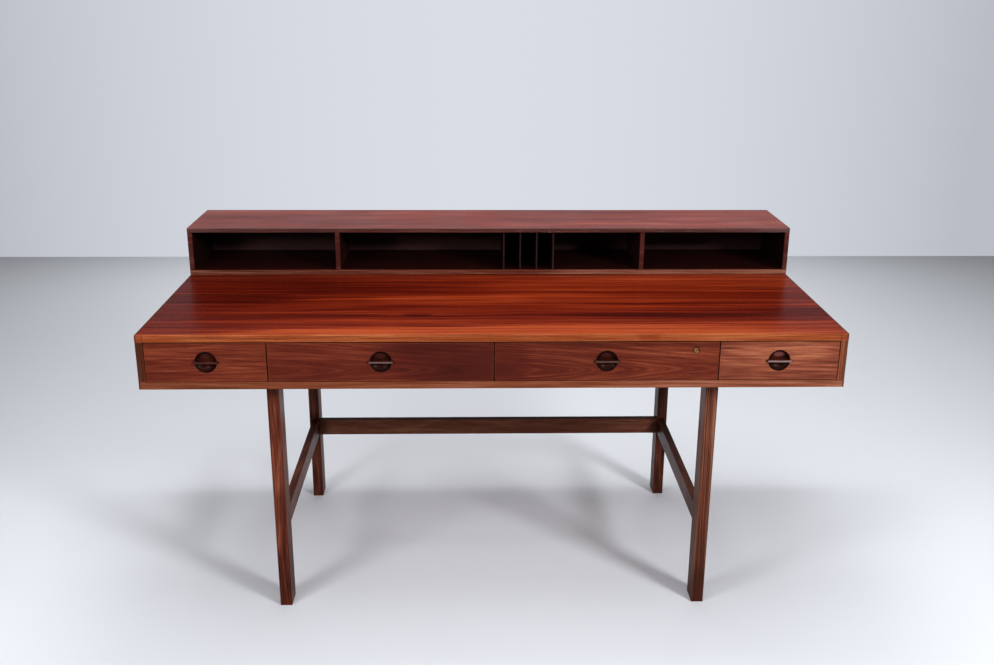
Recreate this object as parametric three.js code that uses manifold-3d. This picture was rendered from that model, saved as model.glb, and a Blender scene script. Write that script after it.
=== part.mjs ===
// A partners desk: four drawers in a slab carcass on two leg frames, and a gallery of
// pigeonholes that turns over the back edge to make the desk top deeper.
// Millimetres. X runs along the desk, Y from its front to its back, Z up from the floor.

import * as THREE from "three";
import { mergeVertices } from "three/addons/utils/BufferGeometryUtils.js";
import Module from "manifold-3d";

const wasm = await Module();
wasm.setup();

// Driving dimensions of the carcass
const deskWidth = 1600;
const deskDepth = 750;
const deskHeight = 725;
const frontY = -372.5;
const backY = frontY + deskDepth;
const topThickness = 16.5;
const bottomThickness = 17.5;
const bayHeight = 94.5;
const sideThickness = 17;
const backThickness = 16;
const partitionThickness = 15;
const bayFloorZ = deskHeight - topThickness - bayHeight;
const bayCeilingZ = bayFloorZ + bayHeight;
const carcassUndersideZ = bayFloorZ - bottomThickness;
const innerHalfWidth = deskWidth / 2 - sideThickness;
const drawerLinesX = [-innerHalfWidth, -510, 0, 510, innerHalfWidth];

// Driving dimensions of the leg frames
const legOuterX = 526.5;
const legWidth = 29;
const legDepth = 55;
const frontLegSetBack = 56;
const backLegSetBack = 44;
const stretcherThickness = 19;
const stretcherInsideLeg = 2;
const stretcherHeight = 46.5;
const stretcherUndersideZ = 199.5;
const topRailHeight = 40;

// Driving dimensions of the gallery
const galleryLift = 1;
const galleryDepth = 238;
const galleryHeight = 126;
const galleryBoard = 11.5;
const galleryBackThickness = 6;
const galleryBackInset = 2;
const dividerX = 406;
const dividerThickness = 11.5;
const dividerSetBack = 1;
const letterDividers = 4;
const firstLetterDividerX = 36;
const letterDividerPitch = 44;
const letterDividerThickness = 4;
const letterDividerSetBack = 2;

// Driving dimensions of the drawers
const frontThickness = 18;
const frontGap = 1.5;
const frontTopGap = 2.5;
const drawerBoxLength = 560;
const drawerSideThickness = 10;
const drawerSideHeight = 82;
const drawerSideClearance = 1.5;
const drawerFloorClearance = 0.25;
const drawerBackHeight = 64;
const drawerBackFromEnd = 5;
const drawerBottomThickness = 5;
const bottomGrooveHeight = 4;
const bottomGrooveDepth = 4;
const bottomGrooveWidth = 5.5;

// Driving dimensions of the pulls
const pullHeight = 47.5;
const pullRadius = 25;
const pullSeatRadius = 25.3;
const pullDepth = 14;
const dishRadius = 24;
const dishDepth = 12;
const finThickness = 4.2;
const finProud = 7;
const finHalfLength = 26;
const finTipX = 30;
const finTipBulge = 0.5;
const finRootDepth = 2;
const finRootInRim = 0.6;

// Driving dimensions of the lock
const lockDrawer = 3;
const lockX = 201;
const lockHeight = 73.5;
const lockRadius = 6;
const lockProud = 4;
const lockNutRadius = 9.5;
const lockNutThickness = 3.75;
const plugRadius = 4;
const plugSpindleRadius = 2.5;
const keywayWidth = 1.2;
const keywayHeight = 5.5;
const keywayDepth = 5;
const camLength = 28.5;
const camWidth = 9;
const camThickness = 2;
const camBehindFront = 27;
const camSlotDepth = 10;
const camSlotPlay = 1.5;
const camSlotReach = [-26, 8];

// Driving dimensions of the hinges
const hingeCentresX = [-640, 0, 640];
const hingeLength = 60;
const leafWidth = 21;
const leafThickness = 1.5;
const leafDrop = 0.25;
const knuckleRadius = 3;
const pinRadius = 1.25;
const pinBehindBack = 0.5;

// Fitting gap between pieces that are cut for each other
const gap = 0.25;

function wood(name, color, roughness) {
  return new THREE.MeshStandardMaterial({ name, color, roughness, metalness: 0 });
}

const deskTopWood = wood("desk top rosewood", 0x7c2f22, 0.35);
const carcassWood = wood("carcass rosewood", 0x6b3226, 0.45);
const drawerFrontWood = wood("drawer front rosewood", 0x7a3a2a, 0.4);
const legWood = wood("leg rosewood", 0x4f2a20, 0.45);
const galleryWood = wood("gallery rosewood", 0x6e3a33, 0.4);
const pullWood = wood("pull rosewood", 0x2c1712, 0.4);
const drawerLiningWood = wood("drawer lining wood", 0xa9794f, 0.6);
const brass = new THREE.MeshStandardMaterial({
  name: "brass", color: 0xb08a4e, roughness: 0.3, metalness: 1,
});

// Solid joins and cuts

function solidOf(geometry) {
  const bare = geometry.clone();
  bare.deleteAttribute("normal");
  bare.deleteAttribute("uv");
  const merged = mergeVertices(bare, 1e-4);
  return new wasm.Manifold(new wasm.Mesh({
    numProp: 3,
    vertProperties: merged.attributes.position.array,
    triVerts: Uint32Array.from(merged.index.array),
  }));
}

function geometryOf(solid) {
  const mesh = solid.getMesh();
  const geometry = new THREE.BufferGeometry();
  geometry.setAttribute("position", new THREE.BufferAttribute(mesh.vertProperties, 3));
  geometry.setIndex(new THREE.BufferAttribute(mesh.triVerts, 1));
  geometry.computeVertexNormals();
  return geometry;
}

function cutFrom(geometry, cutters) {
  const cut = cutters.reduce((solid, cutter) => solid.subtract(solidOf(cutter)), solidOf(geometry));
  return geometryOf(cut);
}

function joined(geometries) {
  const first = solidOf(geometries[0]);
  return geometryOf(geometries.slice(1).reduce((solid, next) => solid.add(solidOf(next)), first));
}

// Board shapes. Each is drawn from its lowest corner, so that a piece is placed by that corner.

function block(width, depth, height) {
  return new THREE.BoxGeometry(width, depth, height).translate(width / 2, depth / 2, height / 2);
}

function blockBetween(low, high) {
  const size = high.map((value, axis) => value - low[axis]);
  return block(...size).translate(...low);
}

// A rectangle whose corners are rounded, in the order lower left, lower right, upper right,
// upper left.
function easedRectangle(width, height, radii) {
  const [lowerLeft, lowerRight, upperRight, upperLeft] = radii;
  const quarter = Math.PI / 2;
  const shape = new THREE.Shape();
  shape.absarc(lowerLeft, lowerLeft, lowerLeft, 2 * quarter, 3 * quarter);
  shape.absarc(width - lowerRight, lowerRight, lowerRight, 3 * quarter, 4 * quarter);
  shape.absarc(width - upperRight, height - upperRight, upperRight, 0, quarter);
  shape.absarc(upperLeft, height - upperLeft, upperLeft, quarter, 2 * quarter);
  return shape;
}

const arcSteps = 3;

function extrude(shape, depth) {
  return new THREE.ExtrudeGeometry(shape, { depth, bevelEnabled: false, curveSegments: arcSteps });
}

// The section lies across Y and Z, and the board runs along X.
function runAlongX(section, length) {
  return extrude(section, length).applyMatrix4(new THREE.Matrix4().makeBasis(
    new THREE.Vector3(0, 1, 0), new THREE.Vector3(0, 0, 1), new THREE.Vector3(1, 0, 0),
  ));
}

// The section lies across X and Z, and the board runs along Y.
function runAlongY(section, length) {
  return extrude(section, length).rotateX(Math.PI / 2).translate(0, length, 0);
}

// The section lies across X and Y, and the board runs along Z.
function runAlongZ(section, length) {
  return extrude(section, length);
}

function rod(radius, length, sides) {
  return new THREE.CylinderGeometry(radius, radius, length, sides);
}

function rodAlongX(radius, length, sides) {
  return rod(radius, length, sides).rotateZ(Math.PI / 2);
}

function piece(name, geometry, material, x, y, z) {
  const mesh = new THREE.Mesh(geometry, material);
  mesh.name = name;
  mesh.position.set(x, y, z);
  return mesh;
}

// Hinges: the pin's axis lies just behind the desk top's rear edge, midway between the desk top
// and the gallery's underside, so that the two come level when the gallery is turned over.

const pinY = backY + pinBehindBack;
const pinZ = deskHeight + galleryLift / 2;
const leafNotch = knuckleRadius + gap;

// What the desk top, or the gallery's underside with rise -1, loses to each hinge: the leaf's
// recess and the knuckles' notch. Positive rise cuts downwards from the desk top's surface.
function hingeCutters(surfaceZ, rise) {
  const reach = hingeLength / 2 + gap;
  return hingeCentresX.flatMap((centreX) => [
    [leafWidth, leafThickness + leafDrop],
    [leafNotch, leafNotch],
  ].map(([width, depth]) => {
    const farZ = surfaceZ - rise * depth;
    const openZ = surfaceZ + rise;
    return blockBetween(
      [centreX - reach, pinY - width - gap, Math.min(farZ, openZ)],
      [centreX + reach, backY + 1, Math.max(farZ, openZ)],
    );
  }));
}

// A leaf's plate, with its rear edge kept clear of the other leaf's knuckles
function leafPlate(fingerSpans, lowZ) {
  const half = hingeLength / 2;
  const plate = blockBetween([-half, -leafWidth, lowZ], [half, -leafNotch, lowZ + leafThickness]);
  const fingers = fingerSpans.map(([from, to]) => (
    blockBetween([from, -leafNotch - 1, lowZ], [to, -pinRadius, lowZ + leafThickness])
  ));
  return [plate, ...fingers];
}

const knuckleSides = 20;
const middleKnuckleHalf = 10;
const outerKnuckleStart = middleKnuckleHalf + gap;

function deskLeaf() {
  const half = hingeLength / 2;
  const outerLength = half - outerKnuckleStart;
  const outerCentre = (half + outerKnuckleStart) / 2;
  const knuckles = [-outerCentre, outerCentre].map((x) => (
    rodAlongX(knuckleRadius, outerLength, knuckleSides).translate(x, 0, 0)
  ));
  const pin = rodAlongX(pinRadius, hingeLength - 1, knuckleSides);
  const spans = [[-half, -outerKnuckleStart], [outerKnuckleStart, half]];
  const lowZ = -galleryLift / 2 - leafDrop - leafThickness;
  return joined([...leafPlate(spans, lowZ), ...knuckles, pin]);
}

function galleryLeaf() {
  const knuckle = rodAlongX(knuckleRadius, 2 * middleKnuckleHalf, knuckleSides);
  const bore = rodAlongX(pinRadius + gap, 2 * hingeLength, knuckleSides);
  const lowZ = galleryLift / 2 + leafDrop;
  const leaf = joined([...leafPlate([[-middleKnuckleHalf, middleKnuckleHalf]], lowZ), knuckle]);
  return cutFrom(leaf, [bore]);
}

// Lock: a cylinder through the front of the third drawer, and a plug whose cam swings up into a
// slot in the desk top's underside.

const lockCentreX = (drawerLinesX[lockDrawer - 1] + drawerLinesX[lockDrawer]) / 2 + lockX;
const camY = frontY + camBehindFront;
const camSlot = blockBetween(
  [lockCentreX + camSlotReach[0], camY - camSlotPlay, bayCeilingZ - 1],
  [lockCentreX + camSlotReach[1], camY + camThickness + camSlotPlay, bayCeilingZ + camSlotDepth],
);

function lockCylinder() {
  const bore = plugRadius + 0.3;
  const lip = 0.8;
  const nutFace = frontThickness + gap;
  const nutEnd = nutFace + lockNutThickness;
  const tail = camBehindFront - 1;
  const profile = [
    [bore, lip - lockProud], [bore + lip, -lockProud], [lockRadius - lip, -lockProud],
    [lockRadius, lip - lockProud], [lockRadius, nutFace], [lockNutRadius, nutFace],
    [lockNutRadius, nutEnd], [lockRadius, nutEnd], [lockRadius, tail], [bore, tail],
    [bore, lip - lockProud],
  ].map(([radius, y]) => new THREE.Vector2(radius, y));
  return new THREE.LatheGeometry(profile, 32);
}

function lockPlug() {
  const face = 0.6 - lockProud;
  const shoulder = camBehindFront - 0.5;
  const end = camBehindFront + camThickness + 1;
  const profile = [
    [0, face], [plugRadius - 0.4, face], [plugRadius, face + 0.4], [plugRadius, shoulder],
    [plugSpindleRadius, shoulder], [plugSpindleRadius, end], [0, end],
  ].map(([radius, y]) => new THREE.Vector2(radius, y));
  const half = camWidth / 2;
  const outline = easedRectangle(camLength + half, camWidth, [half, half, half, half]);
  const cam = runAlongY(outline, camThickness).translate(-camLength, camBehindFront, -half);
  const keyway = blockBetween(
    [-keywayWidth / 2, face - 1, -keywayHeight / 2],
    [keywayWidth / 2, face + keywayDepth, keywayHeight / 2],
  );
  return cutFrom(joined([new THREE.LatheGeometry(profile, 32), cam]), [keyway]);
}

// Carcass

function carcass() {
  const group = new THREE.Group();
  const halfWidth = deskWidth / 2;
  const topSection = easedRectangle(deskDepth, topThickness, [0.75, 0.75, 0.75, 2.5]);
  const bottomSection = easedRectangle(deskDepth, bottomThickness, [1, 0.75, 0.75, 0.75]);
  const panelSection = easedRectangle(sideThickness, deskDepth, [0.5, 0.5, 0.5, 0.5]);
  const topCutters = [
    ...hingeCutters(deskHeight, 1),
    camSlot,
  ].map((cutter) => cutter.translate(halfWidth, -frontY, -bayCeilingZ));
  const deskTop = cutFrom(runAlongX(topSection, deskWidth), topCutters);
  group.add(
    piece("desk_top", deskTop, deskTopWood, -halfWidth, frontY, bayCeilingZ),
    piece("desk_bottom", runAlongX(bottomSection, deskWidth), carcassWood,
      -halfWidth, frontY, carcassUndersideZ),
    piece("left_side_panel", runAlongZ(panelSection, bayHeight), carcassWood,
      -halfWidth, frontY, bayFloorZ),
    piece("right_side_panel", runAlongZ(panelSection, bayHeight), carcassWood,
      innerHalfWidth, frontY, bayFloorZ),
    piece("back_panel", block(2 * innerHalfWidth, backThickness, bayHeight), carcassWood,
      -innerHalfWidth, backY - backThickness, bayFloorZ),
  );
  const partitionFrontY = frontY + frontThickness + 1;
  const partitionLength = backY - backThickness - partitionFrontY;
  ["left", "centre", "right"].forEach((side, index) => {
    const board = block(partitionThickness, partitionLength, bayHeight);
    const x = drawerLinesX[index + 1] - partitionThickness / 2;
    group.add(piece(`partition_${side}`, board, carcassWood, x, partitionFrontY, bayFloorZ));
  });
  return group;
}

// Leg frames

function legFrames() {
  const group = new THREE.Group();
  const frontLegY = frontY + frontLegSetBack;
  const backLegY = backY - backLegSetBack - legDepth;
  const railY = frontLegY + legDepth;
  const railLength = backLegY - railY;
  const legInnerX = legOuterX - legWidth;
  const legSection = easedRectangle(legWidth, legDepth, [1.5, 1.5, 1.5, 1.5]);
  const stretcherSection = easedRectangle(stretcherThickness, stretcherHeight, [1, 1, 1, 1]);
  const railSection = easedRectangle(stretcherThickness, topRailHeight, [1, 1, 0, 0]);
  const stretcherX = legInnerX + stretcherInsideLeg;
  [["left", -legOuterX, -stretcherX - stretcherThickness], ["right", legInnerX, stretcherX]]
    .forEach(([side, legX, railX]) => {
      group.add(
        piece(`front_${side}_leg`, runAlongZ(legSection, carcassUndersideZ), legWood,
          legX, frontLegY, 0),
        piece(`back_${side}_leg`, runAlongZ(legSection, carcassUndersideZ), legWood,
          legX, backLegY, 0),
        piece(`${side}_top_rail`, runAlongY(railSection, railLength), legWood,
          railX, railY, carcassUndersideZ - topRailHeight),
        piece(`${side}_stretcher`, runAlongY(stretcherSection, railLength), legWood,
          railX, railY, stretcherUndersideZ),
      );
    });
  group.add(piece("long_stretcher", runAlongX(stretcherSection, 2 * legInnerX), legWood,
    -legInnerX, backLegY, stretcherUndersideZ));
  return group;
}

// Gallery

function gallery() {
  const group = new THREE.Group();
  group.position.set(0, backY - galleryDepth, deskHeight + galleryLift);
  const halfWidth = deskWidth / 2;
  const innerHeight = galleryHeight - 2 * galleryBoard;
  const topSection = easedRectangle(galleryDepth, galleryBoard, [0.75, 0.75, 1, 1.5]);
  const bottomSection = easedRectangle(galleryDepth, galleryBoard, [0.5, 0.5, 0.75, 0.75]);
  const endSection = easedRectangle(galleryBoard, galleryDepth, [0.75, 0.75, 0.75, 0.75]);
  const bottomCutters = hingeCutters(0, -1)
    .map((cutter) => cutter.translate(halfWidth, galleryDepth - backY, 0));
  const bottom = cutFrom(runAlongX(bottomSection, deskWidth), bottomCutters);
  const backFrontY = galleryDepth - galleryBackInset - galleryBackThickness;
  const backWidth = deskWidth - 2 * galleryBoard;
  group.add(
    piece("gallery_bottom", bottom, galleryWood, -halfWidth, 0, 0),
    piece("gallery_top", runAlongX(topSection, deskWidth), galleryWood,
      -halfWidth, 0, galleryHeight - galleryBoard),
    piece("gallery_left_end", runAlongZ(endSection, innerHeight), galleryWood,
      -halfWidth, 0, galleryBoard),
    piece("gallery_right_end", runAlongZ(endSection, innerHeight), galleryWood,
      halfWidth - galleryBoard, 0, galleryBoard),
    piece("gallery_back", block(backWidth, galleryBackThickness, innerHeight), galleryWood,
      -backWidth / 2, backFrontY, galleryBoard),
  );
  const dividerLength = backFrontY - dividerSetBack;
  const dividerSection = easedRectangle(dividerThickness, dividerLength, [0.75, 0.75, 0, 0]);
  [["left", -dividerX], ["right", dividerX]].forEach(([side, x]) => {
    group.add(piece(`gallery_divider_${side}`, runAlongZ(dividerSection, innerHeight), galleryWood,
      x - dividerThickness / 2, dividerSetBack, galleryBoard));
  });
  const letterLength = backFrontY - letterDividerSetBack;
  const letterSection = easedRectangle(letterDividerThickness, letterLength, [1.5, 1.5, 0, 0]);
  for (let number = 1; number <= letterDividers; number += 1) {
    const x = firstLetterDividerX + (number - 1) * letterDividerPitch;
    group.add(piece(`letter_divider_${number}`, runAlongZ(letterSection, innerHeight),
      galleryWood, x - letterDividerThickness / 2, letterDividerSetBack, galleryBoard));
  }
  return group;
}

// Pull: a turned dish with a fin left standing across it. Its origin is the centre of the dish in
// the plane of the drawer front.

function pull() {
  const sphereRadius = (dishRadius ** 2 + dishDepth ** 2) / (2 * dishDepth);
  const sphereY = dishDepth - sphereRadius;
  const dishSteps = 7;
  const halfAngle = Math.asin(dishRadius / sphereRadius);
  const profile = [];
  for (let step = 0; step <= dishSteps; step += 1) {
    const angle = (halfAngle * step) / dishSteps;
    profile.push(new THREE.Vector2(
      sphereRadius * Math.sin(angle),
      sphereY + sphereRadius * Math.cos(angle),
    ));
  }
  profile[0].x = 0;
  profile.push(
    new THREE.Vector2(pullRadius, 0),
    new THREE.Vector2(pullRadius, pullDepth),
    new THREE.Vector2(0, pullDepth),
  );
  const cup = new THREE.LatheGeometry(profile, 40);

  const rootX = pullRadius - finRootInRim;
  const shoulderX = finTipX - finTipBulge;
  const rootY = dishDepth + finRootInRim;
  const plan = new THREE.Shape();
  plan.moveTo(-finHalfLength, -finProud);
  plan.lineTo(finHalfLength, -finProud);
  plan.quadraticCurveTo(shoulderX, -finProud / 2, finTipX, -gap);
  plan.lineTo(rootX, -gap);
  plan.lineTo(rootX, finRootDepth);
  plan.lineTo(dishRadius / 2, rootY);
  plan.lineTo(-dishRadius / 2, rootY);
  plan.lineTo(-rootX, finRootDepth);
  plan.lineTo(-rootX, -gap);
  plan.lineTo(-finTipX, -gap);
  plan.quadraticCurveTo(-shoulderX, -finProud / 2, -finHalfLength, -finProud);
  const fin = extrude(plan, finThickness).translate(0, 0, -finThickness / 2);
  return joined([cup, fin]);
}

// Drawers. A drawer's group has its origin in the plane of the fronts, on the carcass's floor, at
// the middle of the drawer's front.

function drawerFront(width, boxWidth, boxOffset, hasLock) {
  const ease = 0.75;
  const height = bayHeight - frontGap - frontTopGap;
  const outline = easedRectangle(width, height, [ease, ease, ease, ease]);
  const board = runAlongY(outline, frontThickness).translate(-width / 2, 0, frontGap);
  const seat = rod(pullSeatRadius, pullDepth + gap + 5, 48)
    .translate(0, (pullDepth + gap - 5) / 2, pullHeight);
  const grooveHalf = boxWidth / 2 - drawerSideThickness + bottomGrooveDepth;
  const grooveZ = drawerFloorClearance + bottomGrooveHeight;
  const groove = blockBetween(
    [boxOffset - grooveHalf, frontThickness - bottomGrooveDepth - gap, grooveZ],
    [boxOffset + grooveHalf, frontThickness + 1, grooveZ + bottomGrooveWidth],
  );
  const cutters = [seat, groove];
  if (hasLock) {
    const lockHole = rod(lockRadius + 0.3, 3 * frontThickness, 32).translate(lockX, 0, lockHeight);
    cutters.push(lockHole);
  }
  return cutFrom(board, cutters);
}

// The section of the left side, with the groove for the bottom in its inner face. The right side
// is the same section turned round.
function drawerSideSection() {
  const section = new THREE.Shape();
  const crown = 2;
  const groovedX = drawerSideThickness - bottomGrooveDepth;
  const grooveTop = bottomGrooveHeight + bottomGrooveWidth;
  section.moveTo(0, 0);
  section.lineTo(drawerSideThickness, 0);
  section.lineTo(drawerSideThickness, bottomGrooveHeight);
  section.lineTo(groovedX, bottomGrooveHeight);
  section.lineTo(groovedX, grooveTop);
  section.lineTo(drawerSideThickness, grooveTop);
  section.absarc(drawerSideThickness - crown, drawerSideHeight - crown, crown, 0, Math.PI / 2);
  section.absarc(crown, drawerSideHeight - crown, crown, Math.PI / 2, Math.PI);
  return section;
}

function drawer(number) {
  const group = new THREE.Group();
  const leftLine = drawerLinesX[number - 1];
  const rightLine = drawerLinesX[number];
  const centre = (leftLine + rightLine) / 2;
  group.position.set(centre, frontY, bayFloorZ);
  const isFirst = number === 1;
  const isLast = number === drawerLinesX.length - 1;
  const bayLeft = leftLine + (isFirst ? 0 : partitionThickness / 2);
  const bayRight = rightLine - (isLast ? 0 : partitionThickness / 2);
  const boxWidth = bayRight - bayLeft - 2 * drawerSideClearance;
  const boxOffset = (bayLeft + bayRight) / 2 - centre;
  const boxLeft = boxOffset - boxWidth / 2;
  const boxRight = boxOffset + boxWidth / 2;
  const frontWidth = rightLine - leftLine - 2 * frontGap;
  const sideZ = drawerFloorClearance;
  const hasLock = number === lockDrawer;

  const leftSide = runAlongY(drawerSideSection(), drawerBoxLength);
  const rightSide = leftSide.clone().rotateZ(Math.PI).translate(0, drawerBoxLength, 0);
  const innerWidth = boxWidth - 2 * drawerSideThickness;
  const bottomWidth = innerWidth + 2 * bottomGrooveDepth - 2 * gap;
  const bottomLength = drawerBoxLength + bottomGrooveDepth;
  const bottomY = frontThickness - bottomGrooveDepth;
  const bottomZ = sideZ + bottomGrooveHeight + gap;
  const boardBehind = frontThickness + drawerBoxLength - drawerBackFromEnd - drawerSideThickness;
  const backZ = sideZ + bottomGrooveHeight + bottomGrooveWidth;
  const name = (part) => `drawer_${number}_${part}`;
  group.add(
    piece(name("front"), drawerFront(frontWidth, boxWidth, boxOffset, hasLock), drawerFrontWood,
      0, 0, 0),
    piece(name("left_side"), leftSide, drawerLiningWood, boxLeft, frontThickness, sideZ),
    piece(name("right_side"), rightSide, drawerLiningWood, boxRight, frontThickness, sideZ),
    piece(name("back"), block(innerWidth, drawerSideThickness, drawerBackHeight),
      drawerLiningWood, boxLeft + drawerSideThickness, boardBehind, backZ),
    piece(name("bottom"), block(bottomWidth, bottomLength, drawerBottomThickness),
      drawerLiningWood, boxOffset - bottomWidth / 2, bottomY, bottomZ),
    piece(name("pull"), pull(), pullWood, 0, 0, pullHeight),
  );
  if (hasLock) {
    group.add(
      piece("lock_cylinder", lockCylinder(), brass, lockX, 0, lockHeight),
      piece("lock_plug", lockPlug(), brass, lockX, 0, lockHeight),
    );
  }
  return group;
}

function hinge(number) {
  const group = new THREE.Group();
  group.position.set(hingeCentresX[number - 1], pinY, pinZ);
  group.add(
    piece(`hinge_${number}_desk_leaf`, deskLeaf(), brass, 0, 0, 0),
    piece(`hinge_${number}_gallery_leaf`, galleryLeaf(), brass, 0, 0, 0),
  );
  return group;
}

const desk = new THREE.Group();
desk.add(carcass(), legFrames(), gallery());
for (let number = 1; number < drawerLinesX.length; number += 1) {
  desk.add(drawer(number));
}
hingeCentresX.forEach((centreX, index) => desk.add(hinge(index + 1)));

export default desk;
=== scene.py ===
"""A rosewood partners desk with a gallery that turns over its back edge, dressed on its frame."""

import math

import bmesh
import bpy
from mathutils import Matrix, Vector


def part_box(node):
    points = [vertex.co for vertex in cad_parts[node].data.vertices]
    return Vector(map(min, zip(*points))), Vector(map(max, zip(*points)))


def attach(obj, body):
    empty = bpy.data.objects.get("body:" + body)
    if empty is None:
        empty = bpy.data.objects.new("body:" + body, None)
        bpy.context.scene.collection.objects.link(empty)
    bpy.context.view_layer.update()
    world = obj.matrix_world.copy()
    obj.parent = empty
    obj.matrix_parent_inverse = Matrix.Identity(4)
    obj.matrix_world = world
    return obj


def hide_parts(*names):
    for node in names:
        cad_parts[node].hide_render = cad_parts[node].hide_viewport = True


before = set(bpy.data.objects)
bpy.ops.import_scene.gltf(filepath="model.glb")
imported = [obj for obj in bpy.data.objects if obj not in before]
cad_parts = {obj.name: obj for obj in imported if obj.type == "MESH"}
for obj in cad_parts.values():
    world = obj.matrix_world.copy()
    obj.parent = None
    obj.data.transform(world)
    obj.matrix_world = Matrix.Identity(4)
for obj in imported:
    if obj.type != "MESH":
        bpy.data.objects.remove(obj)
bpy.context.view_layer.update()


# Desk top
# One long board: rosewood veneer with its grain along the desk, laid on a stable core, and a solid
# rosewood lipping glued along its front and ends. It is oiled, and its arrises are eased by hand.

def paint(hex_colour):
    """A colour written as it is seen, turned into the linear values that shaders take."""
    channels = [int(hex_colour[start:start + 2], 16) / 255 for start in (0, 2, 4)]
    linear = [c / 12.92 if c <= 0.04045 else ((c + 0.055) / 1.055) ** 2.4 for c in channels]
    return (*linear, 1.0)


def feed(tree, socket, value):
    """Gives a socket its value: a link where it comes from another node, else a plain value."""
    if isinstance(value, bpy.types.NodeSocket):
        tree.links.new(value, socket)
    else:
        socket.default_value = value


def maths(tree, operation, *values):
    """One step of arithmetic on numbers or on what other nodes put out."""
    step = tree.nodes.new("ShaderNodeMath")
    step.operation = operation
    for socket, value in zip(step.inputs, values):
        feed(tree, socket, value)
    return step.outputs[0]


def times(tree, first, *others):
    """The product of two or more values."""
    for value in others:
        first = maths(tree, "MULTIPLY", first, value)
    return first


def long_side(tree, first, second):
    """The long side of the right-angled triangle on two offsets: a straight distance."""
    squares = maths(tree, "ADD", times(tree, first, first), times(tree, second, second))
    return maths(tree, "SQRT", squares)


def cloudy(tree, x, y, z, scales=(1.0, 1.0, 1.0), shift=0.0, detail=2.0, roughness=0.5):
    """Soft noise at a point, with a scale for each coordinate and a shift of the last one."""
    spot = tree.nodes.new("ShaderNodeCombineXYZ")
    feed(tree, spot.inputs[0], times(tree, x, scales[0]))
    feed(tree, spot.inputs[1], times(tree, y, scales[1]))
    feed(tree, spot.inputs[2], maths(tree, "MULTIPLY_ADD", z, scales[2], shift))
    noise = tree.nodes.new("ShaderNodeTexNoise")
    noise.inputs["Scale"].default_value = 1.0
    noise.inputs["Detail"].default_value = detail
    noise.inputs["Roughness"].default_value = roughness
    tree.links.new(spot.outputs[0], noise.inputs["Vector"])
    return noise.outputs[0]


def ease(tree, value, start, end, low=0.0, high=1.0):
    """A smooth step of value from low, at start, to high, at end."""
    step = tree.nodes.new("ShaderNodeMapRange")
    step.interpolation_type = "SMOOTHSTEP"
    for name, given in zip(("Value", "From Min", "From Max", "To Min", "To Max"),
                           (value, start, end, low, high)):
        feed(tree, step.inputs[name], given)
    return step.outputs[0]


def between(tree, value, low, high):
    """1 where value lies between low and high, else 0."""
    above = maths(tree, "GREATER_THAN", value, low)
    return times(tree, above, maths(tree, "LESS_THAN", value, high))


def blended(tree, share, first, second):
    """The first colour, turned into the second one by a share from 0 to 1."""
    mix = tree.nodes.new("ShaderNodeMix")
    mix.data_type = "RGBA"
    feed(tree, mix.inputs[0], share)
    feed(tree, mix.inputs[6], first)
    feed(tree, mix.inputs[7], second)
    return mix.outputs[2]


def tones(tree, share, colours):
    """A run of colours from dark to pale, each given with its place from 0 to 1."""
    ramp = tree.nodes.new("ShaderNodeValToRGB")
    stops = ramp.color_ramp.elements
    while len(stops) < len(colours):
        stops.new(0.5)
    for stop, (place, colour) in zip(stops, colours):
        stop.position = place
        stop.color = paint(colour)
    feed(tree, ramp.inputs[0], share)
    return ramp.outputs[0]


def new_effect(name, inputs, outputs):
    """An empty shader node group with number inputs and outputs."""
    tree = bpy.data.node_groups.new(name, "ShaderNodeTree")
    for label, value in inputs.items():
        socket = tree.interface.new_socket(label, in_out="INPUT", socket_type="NodeSocketFloat")
        socket.default_value = value
    for label in outputs:
        tree.interface.new_socket(label, in_out="OUTPUT", socket_type="NodeSocketFloat")
    given = tree.nodes.new("NodeGroupInput").outputs
    result = tree.nodes.new("NodeGroupOutput").inputs
    return tree, given, result


def place_effect(tree, effect, **values):
    """A shared effect placed in a material with its own values."""
    made = tree.nodes.new("ShaderNodeGroup")
    made.node_tree = effect
    for name, value in values.items():
        feed(tree, made.inputs[name.replace("_", " ").title()], value)
    return made.outputs


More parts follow.
